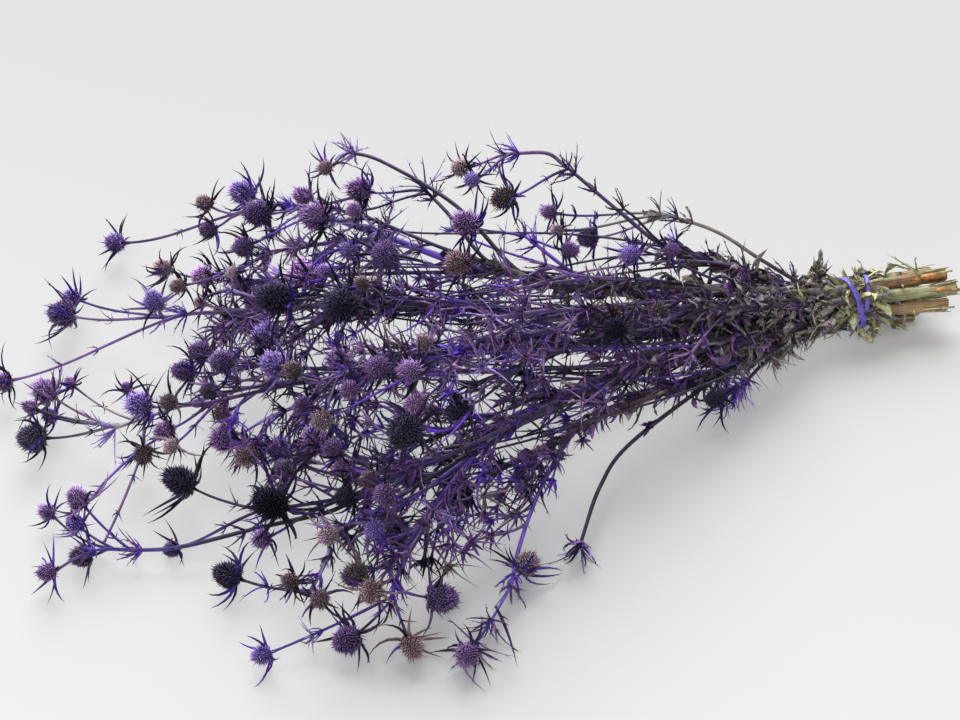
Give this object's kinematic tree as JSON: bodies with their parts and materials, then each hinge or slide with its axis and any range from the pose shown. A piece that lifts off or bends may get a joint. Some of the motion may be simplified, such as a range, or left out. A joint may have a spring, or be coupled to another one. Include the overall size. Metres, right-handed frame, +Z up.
{
  "type": "sea holly bunch, dried",
  "caption": "Tied bunch of dried, violet-dyed sea holly lying down: branching stems with spiny egg-shaped flower heads, held by a flat elastic band near the cut ends",
  "frame": {"origin": "On the surface that the bunch lies on, under the middle of its bounding box.", "axes": "+Z is up. +X runs along the bunch towards the cut ends. +Y points to the back, away from the side where the front sprays lie low."},
  "size_m": [0.6034, 0.3864, 0.1249],
  "materials": {
    "dyed_stem": "dry stalk, dyed violet, matt",
    "flower_head": "dry spiny florets, dyed violet",
    "dried_leaf": "crumpled dry leaf, grey violet to olive",
    "elastic": "flat elastic band, blue violet"
  },
  "bodies": {
    "root": {"stem_1": "dyed_stem", "stem_2": "dyed_stem", "stem_3": "dyed_stem", "stem_4": "dyed_stem", "stem_5": "dyed_stem", "stem_6": "dyed_stem", "stem_7": "dyed_stem", "stem_8": "dyed_stem", "stem_9": "dyed_stem", "tie_band": "elastic"}
  },
  "joints": []
}
